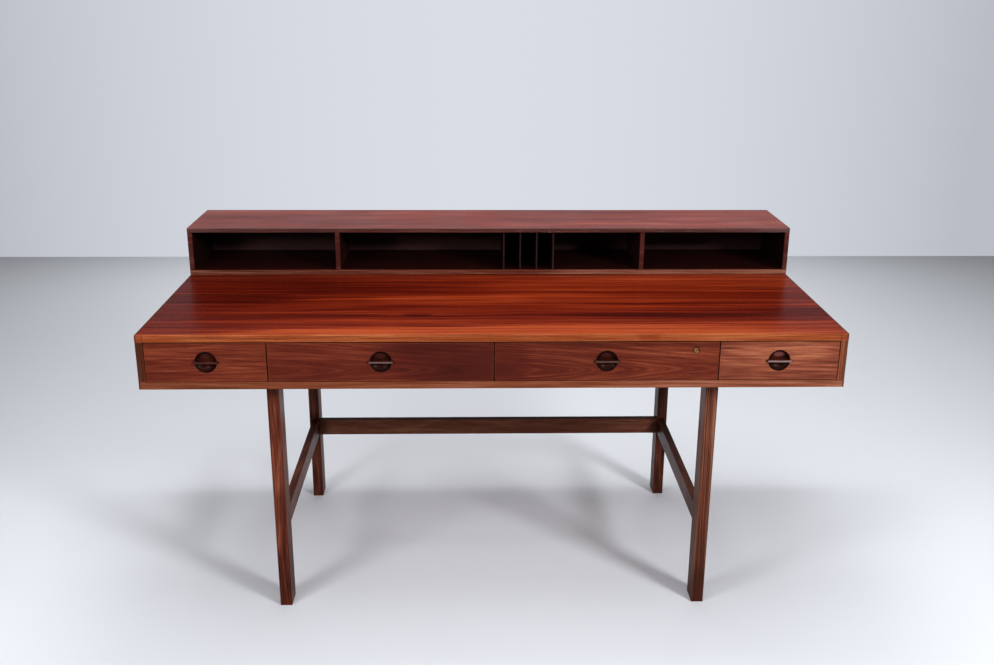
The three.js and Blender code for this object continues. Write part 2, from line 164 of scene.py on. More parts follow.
def make_rosewood_figure():
    """Growth rings round a pith that lies beside or under the board, cut by the board's face.

    Along, Across and Through are metres in the board. Rise is how far the rings have climbed at
    this point along the board: where it falls away they close in arches. Streak Length is how long
    a streak keeps its tone."""
    tree, given, result = new_effect(
        "rosewood figure",
        {"Along": 0.0, "Across": 0.0, "Through": 0.0, "Rise": 0.0, "Pith Across": 0.0,
         "Pith Depth": 0.3, "Ring Width": 0.012, "Streak Length": 0.8, "Wander": 0.03,
         "Seed": 0.0},
        ("Figure", "Ink", "Pores"),
    )
    along, across, through, seed = (given[k] for k in ("Along", "Across", "Through", "Seed"))

    def sway(along_scale, across_scale, shift, share):
        raw = cloudy(tree, along, across, seed, (along_scale, across_scale, 1.0), shift, detail=1.0)
        return times(tree, maths(tree, "SUBTRACT", raw, 0.5), given["Wander"], share)

    slow_sway = sway(along_scale=1.4, across_scale=3.0, shift=0.0, share=1.0)
    quick_sway = sway(along_scale=9.0, across_scale=30.0, shift=5.0, share=0.16)
    swayed = maths(tree, "ADD", slow_sway, quick_sway)
    side = maths(tree, "ADD", maths(tree, "SUBTRACT", across, given["Pith Across"]), swayed)
    depth = maths(tree, "ADD", given["Pith Depth"], through)
    radius = maths(tree, "ADD", long_side(tree, side, depth), given["Rise"])
    ring = maths(tree, "DIVIDE", radius, given["Ring Width"])
    stretch = maths(tree, "DIVIDE", along, given["Streak Length"])

    def bands(ring_scale, along_scale, shift, detail):
        return cloudy(tree, ring, stretch, seed, (ring_scale, along_scale, 1.0), shift, detail,
                      roughness=0.55)

    broad_bands = bands(ring_scale=0.16, along_scale=0.4, shift=11.0, detail=2.0)
    clear_bands = bands(ring_scale=0.8, along_scale=1.0, shift=23.0, detail=3.0)
    fine_bands = bands(ring_scale=3.0, along_scale=2.4, shift=37.0, detail=2.0)
    broad_share, clear_share, fine_share = 0.26, 0.34, 0.40
    figure = times(tree, broad_bands, broad_share)
    figure = maths(tree, "MULTIPLY_ADD", clear_bands, clear_share, figure)
    figure = maths(tree, "MULTIPLY_ADD", fine_bands, fine_share, figure)
    tree.links.new(ease(tree, figure, start=0.32, end=0.68), result["Figure"])
    ink_bands = bands(ring_scale=0.6, along_scale=0.8, shift=51.0, detail=3.0)
    ink = ease(tree, ink_bands, start=0.56, end=0.70)
    thin_ink_bands = bands(ring_scale=2.4, along_scale=1.6, shift=67.0, detail=2.0)
    thin_ink = ease(tree, thin_ink_bands, start=0.60, end=0.72, high=0.8)
    tree.links.new(maths(tree, "MAXIMUM", ink, thin_ink), result["Ink"])
    pore_scales = (75.0, 1500.0, 1500.0)
    pores = cloudy(tree, along, across, through, pore_scales, detail=1.0)
    tree.links.new(ease(tree, pores, start=0.60, end=0.72), result["Pores"])
    return tree


def make_soft_patch():
    """A long patch that follows the grain: 1 in its middle and 0 outside, with a ragged rim."""
    tree, given, result = new_effect(
        "soft patch",
        {"Along": 0.0, "Across": 0.0, "Middle Along": 0.0, "Middle Across": 0.0,
         "Half Length": 0.2, "Half Width": 0.02, "Ragged": 0.9, "Seed": 0.0},
        ("Patch",),
    )
    along, across = given["Along"], given["Across"]
    far = maths(tree, "SUBTRACT", along, given["Middle Along"])
    far = maths(tree, "DIVIDE", far, given["Half Length"])
    wide = maths(tree, "SUBTRACT", across, given["Middle Across"])
    wide = maths(tree, "DIVIDE", wide, given["Half Width"])
    fray_scales = (5.0, 160.0, 1.0)
    fray = cloudy(tree, along, across, given["Seed"], fray_scales)
    fray = times(tree, maths(tree, "SUBTRACT", fray, 0.5), given["Ragged"])
    reach = maths(tree, "ADD", long_side(tree, far, wide), fray)
    tree.links.new(ease(tree, reach, start=0.55, end=1.0, low=1.0, high=0.0), result["Patch"])
    return tree


def make_arris_wear():
    """How near a point of a board lies to the board's nearest arris, broken up as handling does.

    Side, Depth and Height are the distances to the board's nearer face on each axis."""
    tree, given, result = new_effect(
        "arris wear",
        {"Side": 0.0, "Depth": 0.0, "Height": 0.0, "Reach": 0.004, "Seed": 0.0},
        ("Wear",),
    )
    side, depth, height = given["Side"], given["Depth"], given["Height"]
    nearer = maths(tree, "MINIMUM", side, depth)
    farther = maths(tree, "MAXIMUM", side, depth)
    second = maths(tree, "MAXIMUM", nearer, maths(tree, "MINIMUM", farther, height))
    patch_scales = (40.0, 40.0, 40.0)
    patchy = cloudy(tree, side, depth, height, patch_scales, given["Seed"], detail=3.0)
    reach = times(tree, given["Reach"], maths(tree, "ADD", patchy, 0.3))
    near = ease(tree, maths(tree, "DIVIDE", second, reach), start=0.0, end=1.0, low=1.0, high=0.0)
    tree.links.new(near, result["Wear"])
    return tree


rosewood_figure = make_rosewood_figure()
soft_patch = make_soft_patch()
arris_wear = make_arris_wear()

# The board's own axes for each direction of its grain: along, across and through the board.
board_axes = {
    "along desk, flat": ("X", "Y", "Z"),
    "along desk, upright": ("X", "Z", "Y"),
    "front to back, upright": ("Y", "Z", "X"),
    "upright, facing side": ("Z", "Y", "X"),
    "upright, facing front": ("Z", "X", "Y"),
}


def board_places(tree, node_name):
    """The point's coordinates in metres, and its distance to the board's nearer face on each axis."""
    spot = tree.nodes.new("ShaderNodeTexCoord")
    split = tree.nodes.new("ShaderNodeSeparateXYZ")
    tree.links.new(spot.outputs["Object"], split.inputs[0])
    coordinates = dict(zip("XYZ", split.outputs))
    low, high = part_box(node_name)
    distances = {}
    for axis, axis_low, axis_high in zip("XYZ", low, high):
        from_middle = maths(tree, "SUBTRACT", coordinates[axis], (axis_low + axis_high) / 2)
        from_middle = maths(tree, "ABSOLUTE", from_middle)
        distances[axis] = maths(tree, "SUBTRACT", (axis_high - axis_low) / 2, from_middle)
    return coordinates, distances


def finished(tree, colour, roughness, height, bump, specular=0.5, metallic=0.0):
    """The surface itself: an oiled or painted skin over the colour and relief that it is given."""
    skin = tree.nodes.new("ShaderNodeBsdfPrincipled")
    feed(tree, skin.inputs["Base Color"], colour)
    feed(tree, skin.inputs["Roughness"], roughness)
    skin.inputs["Metallic"].default_value = metallic
    skin.inputs["Specular IOR Level"].default_value = specular
    relief = tree.nodes.new("ShaderNodeBump")
    relief.inputs["Strength"].default_value = 1.0
    relief.inputs["Distance"].default_value = bump
    tree.links.new(height, relief.inputs["Height"])
    tree.links.new(relief.outputs[0], skin.inputs["Normal"])
    result = tree.nodes.new("ShaderNodeOutputMaterial")
    tree.links.new(skin.outputs[0], result.inputs[0])


def new_finish(name):
    """A material with nothing in it yet, and its node tree."""
    material = bpy.data.materials.new(name)
    material.use_nodes = True
    material.node_tree.nodes.clear()
    return material, material.node_tree


def wood_colour(tree, places, grain, seed, colours, ink, figure, contrast=1.0, rise=None,
                streaks=()):
    """The wood's colour and its pores, from its rings as the given grain lays them.

    rise: from where, to where and how far the rings climb along the board. streaks: patches that
    are darker or paler, each a change of tone, the patch's middle and its half length and width."""
    ink_share, pore_share = 0.5, 0.4
    along, across, through = (places[axis] for axis in board_axes[grain])
    if rise:
        figure = {**figure, "rise": ease(tree, along, rise[0], rise[1], high=rise[2])}
    rings = place_effect(
        tree, rosewood_figure, along=along, across=across, through=through, seed=seed, **figure,
    )
    tone = maths(tree, "MULTIPLY_ADD", rings["Figure"], contrast, 0.5 - contrast / 2)
    for number, (change, middle, half_size) in enumerate(streaks):
        patch = place_effect(
            tree, soft_patch, along=along, across=across, middle_along=middle[0],
            middle_across=middle[1], half_length=half_size[0], half_width=half_size[1],
            seed=seed + 7.0 * number,
        )["Patch"]
        tone = maths(tree, "MULTIPLY_ADD", patch, change, tone)
    colour = tones(tree, tone, colours)
    inked = times(tree, rings["Ink"], ink_share * contrast)
    colour = blended(tree, inked, colour, paint(ink))
    filled = times(tree, rings["Pores"], pore_share)
    return blended(tree, filled, colour, paint(ink)), rings["Pores"]


def rosewood_board(node_name, grain, seed, colours, figure, contrast=1.0, rise=None, streaks=(),
                   lip=None, dress=None, ink="240a06", roughness=0.34, specular=0.04, wear_and_highlight=0.25,
                   wear_and_highlight_colour="8a4a2c", piece=None):
    """A rosewood finish for one board, or for the piece that stands for it.

    lip: the lipping's axes, thickness, grain, colours and figure. dress: a function that lays
    this board's own marks, and its painted shade and light where it has them, over its colour."""
    hand_scales = (9.0, 9.0, 9.0)
    pore_dullness = 0.12
    pore_relief = 0.00012
    material, tree = new_finish(f"rosewood {node_name}")
    places, distances = board_places(tree, node_name)
    colour, pores = wood_colour(
        tree, places, grain, seed, colours, ink, figure, contrast, rise, streaks,
    )
    if lip:
        lip_seed = seed + 40.0
        lip_colour = wood_colour(
            tree, places, lip["grain"], lip_seed, lip["colours"], ink, lip["figure"],
            streaks=lip.get("streaks", ()),
        )[0]
        distance = distances[lip["axes"][0]]
        for axis in lip["axes"][1:]:
            distance = maths(tree, "MINIMUM", distance, distances[axis])
        colour = blended(tree, maths(tree, "LESS_THAN", distance, lip["thickness"]),
                         colour, lip_colour)
    if dress:
        colour = dress(tree, places, distances, colour)
    # The arrises are paled as wear; on the desk top this is also a painted highlight.
    lightened = place_effect(
        tree, arris_wear, side=distances["X"], depth=distances["Y"], height=distances["Z"],
        reach=0.003, seed=seed,
    )["Wear"]
    colour = blended(tree, times(tree, lightened, wear_and_highlight), colour, paint(wear_and_highlight_colour))
    handled = cloudy(tree, *places.values(), hand_scales, seed, detail=4.0)
    sheen = ease(tree, handled, 0.3, 0.7, low=roughness - 0.03, high=roughness + 0.04)
    roughened = maths(tree, "MULTIPLY_ADD", pores, pore_dullness, sheen)
    relief = times(tree, pores, -1.0)
    finished(tree, colour, roughened, relief, pore_relief, specular)
    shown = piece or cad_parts[node_name]
    shown.data.materials.clear()
    shown.data.materials.append(material)


def make_smoothing():
    """Geometry nodes that shade a solid's round stretches smooth and keep its arrises sharp."""
    gentlest_arris = math.radians(40)
    tree = bpy.data.node_groups.new("smooth rounds", "GeometryNodeTree")
    tree.interface.new_socket("Geometry", in_out="INPUT", socket_type="NodeSocketGeometry")
    tree.interface.new_socket("Geometry", in_out="OUTPUT", socket_type="NodeSocketGeometry")
    given = tree.nodes.new("NodeGroupInput")
    result = tree.nodes.new("NodeGroupOutput")
    faces = tree.nodes.new("GeometryNodeSetShadeSmooth")
    faces.domain = "FACE"
    edges = tree.nodes.new("GeometryNodeSetShadeSmooth")
    edges.domain = "EDGE"
    fold = tree.nodes.new("GeometryNodeInputMeshEdgeAngle")
    gentle = tree.nodes.new("FunctionNodeCompare")
    gentle.operation = "LESS_THAN"
    tree.links.new(fold.outputs[0], gentle.inputs[0])
    gentle.inputs[1].default_value = gentlest_arris
    tree.links.new(given.outputs[0], faces.inputs[0])
    tree.links.new(faces.outputs[0], edges.inputs[0])
    tree.links.new(gentle.outputs[0], edges.inputs["Shade Smooth"])
    tree.links.new(edges.outputs[0], result.inputs[0])
    return tree


smooth_rounds = make_smoothing()


def ease_arrises(piece, width=0.0, steps=2):
    """Breaks a piece's sharp arrises where a width is given, and shades its rounds smooth."""
    sharp_arris = math.radians(50)
    if width:
        broken = piece.modifiers.new("broken arrises", "BEVEL")
        broken.width = width
        broken.segments = steps
        broken.limit_method = "ANGLE"
        broken.angle_limit = sharp_arris
    smooth = piece.modifiers.new("smooth rounds", "NODES")
    smooth.node_group = smooth_rounds
    weighted = piece.modifiers.new("flat faces", "WEIGHTED_NORMAL")
    weighted.keep_sharp = True


top_tones = ((0.0, "260502"), (0.3, "490d05"), (0.5, "5e1708"), (0.7, "7b270f"), (0.84, "8f3719"),
             (1.0, "a0431f"))
lip_tones = ((0.0, "66280f"), (0.35, "803819"), (0.6, "8f4524"), (1.0, "aa5f36"))
lip_figure = {"ring_width": 0.006, "streak_length": 0.35, "pith_depth": 0.1, "wander": 0.01}
lip_thickness = 0.006
desk_front_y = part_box("desk_top")[0].y
end_lip_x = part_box("right_side_panel")[0].x
joint_half_width = 0.0006
hair = 0.0001
top_streaks = (
    (-0.12, (-0.75, 0.00), (0.50, 0.230)),
    (-0.22, (-0.68, -0.085), (0.28, 0.050)),
    (-0.22, (-0.42, -0.222), (0.20, 0.011)),
    (-0.25, (-0.18, -0.223), (0.05, 0.016)),
    (0.14, (-0.10, -0.095), (0.28, 0.045)),
    (-0.22, (0.50, -0.135), (0.34, 0.020)),
    (-0.22, (0.40, -0.225), (0.34, 0.018)),
    (0.36, (0.05, -0.360), (0.80, 0.075)),
    (0.14, (0.50, -0.010), (0.75, 0.170)),
)


def dark_end_arris(tree, distances, colour, reach, share, shade):
    """Darkens the arris round each end of a board, but not the end face itself."""
    full = reach - 0.0018
    arris = ease(tree, distances["X"], start=full, end=reach, low=share, high=0.0)
    off_the_end = maths(tree, "GREATER_THAN", distances["X"], hair)
    return blended(tree, times(tree, arris, off_the_end), colour, paint(shade))


def end_lippings(tree, places, distances, colour):
    """The end lippings run through to the front, darker, and butt the front one at a fine joint."""
    outward = maths(tree, "ABSOLUTE", places["X"])
    at_front = maths(tree, "LESS_THAN", places["Y"], desk_front_y + lip_thickness)
    block = times(tree, maths(tree, "GREATER_THAN", outward, end_lip_x), at_front, 0.5)
    colour = blended(tree, block, colour, paint("7c3a24"))
    joint = between(tree, outward, end_lip_x - joint_half_width, end_lip_x + joint_half_width)
    colour = blended(tree, times(tree, joint, at_front), colour, paint("3c160c"))
    return dark_end_arris(tree, distances, colour, reach=0.0040, share=0.9, shade="381408")


# The desk top's strong, pale arris wear is also a painted highlight along its arrises.
rosewood_board(
    "desk_top", "along desk, flat", seed=3.0, colours=top_tones,
    figure={"pith_across": -1.1, "pith_depth": 0.5, "ring_width": 0.017, "streak_length": 1.3,
            "wander": 0.05},
    contrast=0.7, streaks=top_streaks, dress=end_lippings, roughness=0.22, specular=0.04,
    wear_and_highlight=0.3, wear_and_highlight_colour="a8603c",
    lip={"axes": ("Y",), "grain": "along desk, flat", "thickness": lip_thickness,
         "colours": lip_tones, "figure": lip_figure,
         "streaks": ((-0.22, (0.348, -0.372), (0.034, 0.02)),
                     # The pale stretch on the lipping's left half is painted light.
                     (0.16, (-0.50, -0.372), (0.40, 0.02)),
                     (0.12, (0.66, -0.372), (0.22, 0.02)))},
)
ease_arrises(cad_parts["desk_top"], width=0.0006)


# Carcass
# The bottom board, two side panels and the back close the drawer bays, with three partitions
# between them. They are veneered boards with solid lippings along their front edges.

board_tones = ((0.0, "260c08"), (0.3, "4e1b11"), (0.5, "6c2a1a"), (0.72, "8a3f26"), (1.0, "b06a42"))
board_figure = {"pith_across": 0.2, "pith_depth": 0.1, "ring_width": 0.009,
                "streak_length": 0.5, "wander": 0.03}
low_lip_tones = ((0.0, "5e2b18"), (0.35, "713923"), (0.6, "81472f"), (1.0, "a06550"))
front_back_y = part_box("drawer_1_front")[1].y
# Painted shade in the gaps under and beside the drawer fronts:
gap_shade_to_y = front_back_y + 0.0025
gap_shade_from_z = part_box("desk_bottom")[1].z - 0.0002
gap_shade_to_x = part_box("right_side_panel")[0].x + 0.0011
gap_shade_share = 0.9


def gap_shaded_rim(tree, places, distances, colour):
    """Painted shade lies in the gap under the drawer fronts, and the end arrises are darkened."""
    painted_shade = times(tree, maths(tree, "GREATER_THAN", places["Z"], gap_shade_from_z),
                 maths(tree, "LESS_THAN", places["Y"], gap_shade_to_y), gap_shade_share)
    colour = blended(tree, painted_shade, colour, paint("2c0c04"))
    return dark_end_arris(tree, distances, colour, reach=0.0042, share=0.85, shade="3a241c")


rosewood_board(
    "desk_bottom", "along desk, flat", seed=11.0, colours=board_tones,
    figure={**board_figure, "pith_across": 0.9}, dress=gap_shaded_rim,
    lip={"axes": ("X", "Y"), "grain": "along desk, upright", "thickness": lip_thickness,
         "colours": low_lip_tones, "figure": lip_figure,
         "streaks": ((0.2, (0.62, 0.605), (0.34, 0.05)),)},
)

side_panels = {
    "left_side_panel": {
        "tones": ((0.0, "34150d"), (0.35, "4a2013"), (0.6, "5a2b1a"), (1.0, "78422c")),
        "joint": 0.7880, "joint_share": 1.0, "facing": "3e2218"},
    "right_side_panel": {
        "tones": ((0.0, "4a2015"), (0.35, "683220"), (0.6, "7e422a"), (1.0, "9c5c40")),
        "joint": 0.7930, "joint_share": 0.5, "facing": "5c3829"},
}
facing_front_y = desk_front_y + 0.001


def side_panel_edge(strip):
    """Along the front edge the panel's lipping meets a thin outer facing at a dark glue line, and
    painted shade lies in the gap beside the drawer."""
    joint_low = strip["joint"] - joint_half_width
    joint_high = strip["joint"] + joint_half_width

    def lay_edge(tree, places, distances, colour):
        outward = maths(tree, "ABSOLUTE", places["X"])
        at_front = maths(tree, "LESS_THAN", places["Y"], facing_front_y)
        outside = maths(tree, "GREATER_THAN", outward, strip["joint"])
        facing = times(tree, outside, at_front, 0.7)
        colour = blended(tree, facing, colour, paint(strip["facing"]))
        joint = between(tree, outward, joint_low, joint_high)
        glue = times(tree, joint, at_front, strip["joint_share"])
        colour = blended(tree, glue, colour, paint("1c0906"))
        painted_shade = times(tree, maths(tree, "LESS_THAN", outward, gap_shade_to_x),
                     maths(tree, "LESS_THAN", places["Y"], gap_shade_to_y), gap_shade_share)
        return blended(tree, painted_shade, colour, paint("240a03"))

    return lay_edge


for seed, (panel, strip) in enumerate(side_panels.items(), start=17):
    rosewood_board(
        panel, "front to back, upright", seed=float(seed), colours=board_tones,
        figure={**board_figure, "pith_across": 0.45, "pith_depth": 0.12}, contrast=0.6,
        lip={"axes": ("Y",), "grain": "upright, facing front", "thickness": lip_thickness,
             "colours": strip["tones"], "figure": lip_figure},
        dress=side_panel_edge(strip),
    )
rosewood_board("back_panel", "along desk, upright", seed=23.0, colours=board_tones,
               figure=board_figure, contrast=0.5)
for name in ("desk_bottom", "left_side_panel", "right_side_panel", "back_panel"):
    ease_arrises(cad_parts[name], width=0.0005)

hidden_tones = ((0.0, "120604"), (0.5, "200c08"), (1.0, "34160e"))
# The centre partition is painted pale: painted light in the gap between the middle fronts.
painted_light_gap_tones = ((0.0, "7a3c26"), (0.5, "9a553b"), (1.0, "b4705a"))
partitions = {"left": hidden_tones, "centre": painted_light_gap_tones, "right": hidden_tones}
for seed, (place, colours) in enumerate(partitions.items(), start=29):
    rosewood_board(f"partition_{place}", "front to back, upright", seed=float(seed),
                   colours=colours, figure=board_figure, wear_and_highlight=0.0)


# Leg frames
# Two trestles of solid rosewood: straight legs, a rail under the carcass and a low stretcher
# between them, tied by one long stretcher at the back. Tenoned, glued and oiled.

leg_tones = ((0.0, "28110b"), (0.3, "422015"), (0.5, "562b1d"), (0.72, "6e3f2e"), (1.0, "926046"))
red_leg_tones = ((0.0, "260d07"), (0.3, "411a10"), (0.5, "562517"), (0.72, "6d3625"),
                 (1.0, "8e5138"))
leg_figure = {"pith_depth": 0.06, "ring_width": 0.009, "streak_length": 0.22, "wander": 0.018}
lined_figure = {**leg_figure, "ring_width": 0.0065, "streak_length": 0.7}
legs = {
    "front_left": {
        "colours": red_leg_tones, "figure": {**leg_figure, "pith_across": -0.2}, "contrast": 0.75,
        "streaks": ((0.16, (0.38, -0.512), (0.09, 0.020)), (-0.20, (0.08, -0.512), (0.10, 0.03)),
                    (0.12, (0.20, -0.520), (0.07, 0.012)))},
    # The back left leg's dark band where the stretchers meet it is painted shade.
    "back_left": {
        "colours": leg_tones, "figure": {**leg_figure, "pith_across": -0.1}, "contrast": 0.75,
        "streaks": ((-0.10, (0.02, -0.512), (0.14, 0.05)),
                    (-0.34, (0.225, -0.512), (0.05, 0.04)))},
    "front_right": {
        "colours": leg_tones, "figure": {**lined_figure, "pith_across": 0.0}, "contrast": 1.0,
        "streaks": ((0.14, (0.50, 0.512), (0.10, 0.020)), (-0.22, (0.02, 0.512), (0.10, 0.05)))},
    # The back right leg is darkened all over with painted shade.
    "back_right": {
        "colours": leg_tones, "figure": {**leg_figure, "pith_across": 0.1}, "contrast": 0.75,
        "streaks": ((-0.20, (0.3, 0.512), (0.9, 0.2)),)},
}
leg_inner_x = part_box("front_right_leg")[0].x + 0.0004
stretcher_top_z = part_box("long_stretcher")[1].z - 0.0004


def inner_face(tree, places, distances, colour):
    """The leg's inner face has a painted reflection near the top, and painted shade lower down."""
    inward = maths(tree, "LESS_THAN", maths(tree, "ABSOLUTE", places["X"]), leg_inner_x)
    lightened = ease(tree, places["Z"], start=0.44, end=0.54, high=0.32)
    colour = blended(tree, times(tree, lightened, inward), colour, paint("8f8388"))
    painted_low_shade = ease(tree, places["Z"], start=0.46, end=0.36, high=0.5)
    return blended(tree, times(tree, painted_low_shade, inward), colour, paint("4c2a1e"))


for seed, (leg, look) in enumerate(legs.items(), start=41):
    rosewood_board(f"{leg}_leg", "upright, facing front", seed=float(seed), dress=inner_face,
                   roughness=0.4, specular=0.06, wear_and_highlight=0.12, **look)

# Painted shade: the right stretcher is darker all over, and every rail darker towards its back end.
rail_painted_shades = {"left_top_rail": 0.0, "right_top_rail": 0.0, "left_stretcher": 0.0,
               "right_stretcher": -0.16}
for seed, (rail, shade) in enumerate(rail_painted_shades.items(), start=47):
    rosewood_board(
        rail, "front to back, upright", seed=float(seed), colours=leg_tones, figure=leg_figure,
        contrast=0.6, roughness=0.4, specular=0.1, wear_and_highlight=0.12,
        streaks=((shade, (0.0, 0.22), (1.0, 0.5)), (-0.24, (0.25, 0.22), (0.16, 0.5))),
    )


def shaded_stretcher_top(tree, places, distances, colour):
    """Painted shade on the long stretcher's top face, under the carcass, and at its two ends."""
    on_top = maths(tree, "GREATER_THAN", places["Z"], stretcher_top_z)
    colour = blended(tree, times(tree, on_top, 0.8), colour, paint("170b10"))
    outward = maths(tree, "ABSOLUTE", places["X"])
    painted_shade = ease(tree, outward, start=0.466, end=0.490, high=0.6)
    return blended(tree, painted_shade, colour, paint("1c0d0a"))


rosewood_board(
    "long_stretcher", "along desk, upright", seed=53.0, colours=leg_tones, figure=leg_figure,
    contrast=0.35, streaks=((0.24, (0.0, 0.22), (2.0, 0.5)),), dress=shaded_stretcher_top, roughness=0.4,
    specular=0.06, wear_and_highlight=0.12,
)
for name in (*(f"{leg}_leg" for leg in legs), *rail_painted_shades, "long_stretcher"):
    ease_arrises(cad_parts[name], width=0.0008)


# Gallery
# A shallow open case of thin rosewood boards as long as the desk, with a thin back let in and six
# upright dividers, that stands on the desk top's rear. Its inside is darkened with painted shade.

gallery_tones = ((0.0, "300f0b"), (0.3, "4a1c17"), (0.5, "5a2620"), (0.72, "6e342a"),
                 (1.0, "94564a"))
gallery_top_tones = ((0.0, "46150f"), (0.3, "602119"), (0.5, "70281d"), (0.72, "843628"),
                     (1.0, "a65846"))
sill_tones = ((0.0, "481c15"), (0.35, "5c2b1c"), (0.6, "6e3b2f"), (1.0, "8c5a48"))
edge_tones = ((0.0, "30120f"), (0.5, "4b211c"), (1.0, "643731"))
divider_tones = ((0.0, "1c0f0f"), (0.5, "2c1d1e"), (1.0, "40302f"))
gallery_figure = {"pith_across": 0.7, "pith_depth": 0.3, "ring_width": 0.010,
                  "streak_length": 0.5, "wander": 0.03}
edging = {"axes": ("Y",), "grain": "along desk, upright", "thickness": 0.005,
          "colours": edge_tones, "figure": lip_figure}
sill = {**edging, "colours": sill_tones, "streaks": ((0.45, (0.64, 0.732), (0.60, 0.05)),)}

case_board = {"colours": gallery_tones, "contrast": 0.5, "specular": 0.06, "lip": edging}
letter_divider = {**case_board, "colours": divider_tones, "lip": None}
gallery_boards = {
    "gallery_top": ("along desk, flat", {**case_board, "colours": gallery_top_tones,
                                         "contrast": 0.75, "specular": 0.5}),
    "gallery_bottom": ("along desk, flat", {**case_board, "colours": top_tones, "lip": sill}),
    "gallery_left_end": ("front to back, upright", case_board),
    "gallery_right_end": ("front to back, upright", case_board),
    "gallery_back": ("along desk, upright", case_board),
    "gallery_divider_left": ("upright, facing side", case_board),
    "gallery_divider_right": ("upright, facing side", case_board),
    **{f"letter_divider_{number}": ("upright, facing side", letter_divider)
       for number in (1, 2, 3, 4)},
}

gallery_front_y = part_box("gallery_bottom")[0].y
gallery_room = (
    (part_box("gallery_left_end")[1].x - hair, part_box("gallery_right_end")[0].x + hair),
    (gallery_front_y + 0.0005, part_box("gallery_back")[0].y + 0.003),
    (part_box("gallery_bottom")[1].z - hair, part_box("gallery_top")[0].z + hair),
)
shade_from_y = gallery_front_y + 0.0007
shade_full_y = gallery_front_y + 0.0125
divider_shade = (0.82, "140b0c")
inside_shades = {"gallery_bottom": (0.92, "170b0b"), "gallery_left_end": (0.93, "120a0b"),
                 "gallery_right_end": (0.93, "120a0b"), "gallery_back": (0.8, "543c3a")}


def dark_inside(share, shade):
    """Shades the faces that look into the gallery, from a little behind its front edge."""
    def lay_shade(tree, places, distances, colour):
        within = ease(tree, places["Y"], start=shade_from_y, end=shade_full_y)
        for axis, (low, high) in zip("XYZ", gallery_room):
            within = times(tree, within, between(tree, places[axis], low, high))
        return blended(tree, times(tree, within, share), colour, paint(shade))

    return lay_shade


for seed, (board, (grain, look)) in enumerate(gallery_boards.items(), start=61):
    rosewood_board(
        board, grain, seed=float(seed), figure=gallery_figure, roughness=0.33, wear_and_highlight=0.05,
        dress=dark_inside(*inside_shades.get(board, divider_shade)), **look,
    )
    ease_arrises(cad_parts[board], width=0.0004)


# Drawer fronts
# Four fronts cut from matched rosewood veneer with the grain along the desk. The second and third
# show where the leaf ran near the heart: arches lie on their sides there, closed to the right.

front_tones = ((0.0, "32100b"), (0.3, "4a1a12"), (0.5, "5c2317"), (0.72, "773622"), (1.0, "a25a3c"))
pale_front_tones = ((0.0, "3a1710"), (0.3, "55251a"), (0.5, "6b3324"), (0.72, "884833"),
                    (1.0, "b06c4e"))
plain_figure = {"pith_across": 0.95, "pith_depth": 0.10, "ring_width": 0.0085,
                "streak_length": 0.24, "wander": 0.018}
heart_figure = {"pith_across": 0.642, "pith_depth": 0.3825, "ring_width": 0.0085,
                "streak_length": 0.30, "wander": 0.012}
fronts = {
    1: {"figure": plain_figure, "contrast": 0.48,
        "streaks": ((0.09, (-0.65, 0.655), (0.30, 0.10)),)},
    2: {"figure": heart_figure, "contrast": 0.42, "rise": (-0.6, 0.1, 0.040),
        "streaks": ((-0.18, (-0.08, 0.66), (0.22, 0.08)),)},
    3: {"figure": heart_figure, "contrast": 0.56, "rise": (-0.1, 0.6, 0.044),
        "streaks": ((0.16, (0.40, 0.684), (0.22, 0.016)), (0.10, (0.45, 0.650), (0.16, 0.05)),
                    (-0.14, (0.01, 0.66), (0.09, 0.10)))},
    4: {"figure": plain_figure, "contrast": 0.56, "colours": pale_front_tones,
        "streaks": ((0.12, (0.70, 0.66), (0.26, 0.10)), (0.14, (0.66, 0.684), (0.16, 0.03)),
                    (-0.12, (0.70, 0.628), (0.12, 0.012)))},
}
flush_end_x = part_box("drawer_4_front")[1].x - hair
tails_from_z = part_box("desk_bottom")[1].z
tails_to_z = 0.6962
tail_pitch = 0.0205
tail_reach = 0.0120
tail_root_half = 0.27
tail_flare = 9.0
lock_centre_x = 0.4560
lock_centre_z = 0.6875


def distance_from(tree, places, centre_x, centre_z):
    """How far a point lies from a centre, as seen from the front."""
    aside = maths(tree, "SUBTRACT", places["X"], centre_x)
    above = maths(tree, "SUBTRACT", places["Z"], centre_z)
    return long_side(tree, aside, above)


def front_details(tree, places, distances, colour):
    """Half-blind dovetails on the flush ends of the outer fronts, and a dark ring round the lock."""
    inward = maths(tree, "SUBTRACT", front_back_y, places["Y"])
    at_end = maths(tree, "GREATER_THAN", maths(tree, "ABSOLUTE", places["X"]), flush_end_x)
    reached = between(tree, inward, -hair, tail_reach)
    step = maths(tree, "DIVIDE", maths(tree, "SUBTRACT", places["Z"], tails_from_z), tail_pitch)
    from_tail = maths(tree, "ABSOLUTE", maths(tree, "SUBTRACT", maths(tree, "FRACT", step), 0.5))
    flare = maths(tree, "MULTIPLY_ADD", inward, tail_flare, tail_root_half)
    tail = times(tree, at_end, reached, maths(tree, "LESS_THAN", from_tail, flare),
                 maths(tree, "LESS_THAN", places["Z"], tails_to_z))
    colour = blended(tree, tail, colour, paint("9c7650"))
    from_lock = distance_from(tree, places, lock_centre_x, lock_centre_z)
    dark_lock_ring = ease(tree, from_lock, start=0.0066, end=0.0095, low=0.75, high=0.0)
    return blended(tree, dark_lock_ring, colour, paint("1e0c08"))


for number, character in fronts.items():
    front = f"drawer_{number}_front"
    look = {"colours": front_tones, "dress": front_details, "roughness": 0.36, **character}
    rosewood_board(front, "along desk, upright", seed=71.0 + number, **look)
    ease_arrises(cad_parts[front])


# Drawer pulls
# Turned from one piece of dark rosewood: a dished round with a fin left standing across it, which
# is gripped from above and below. Each is glued into its seat in the drawer front.

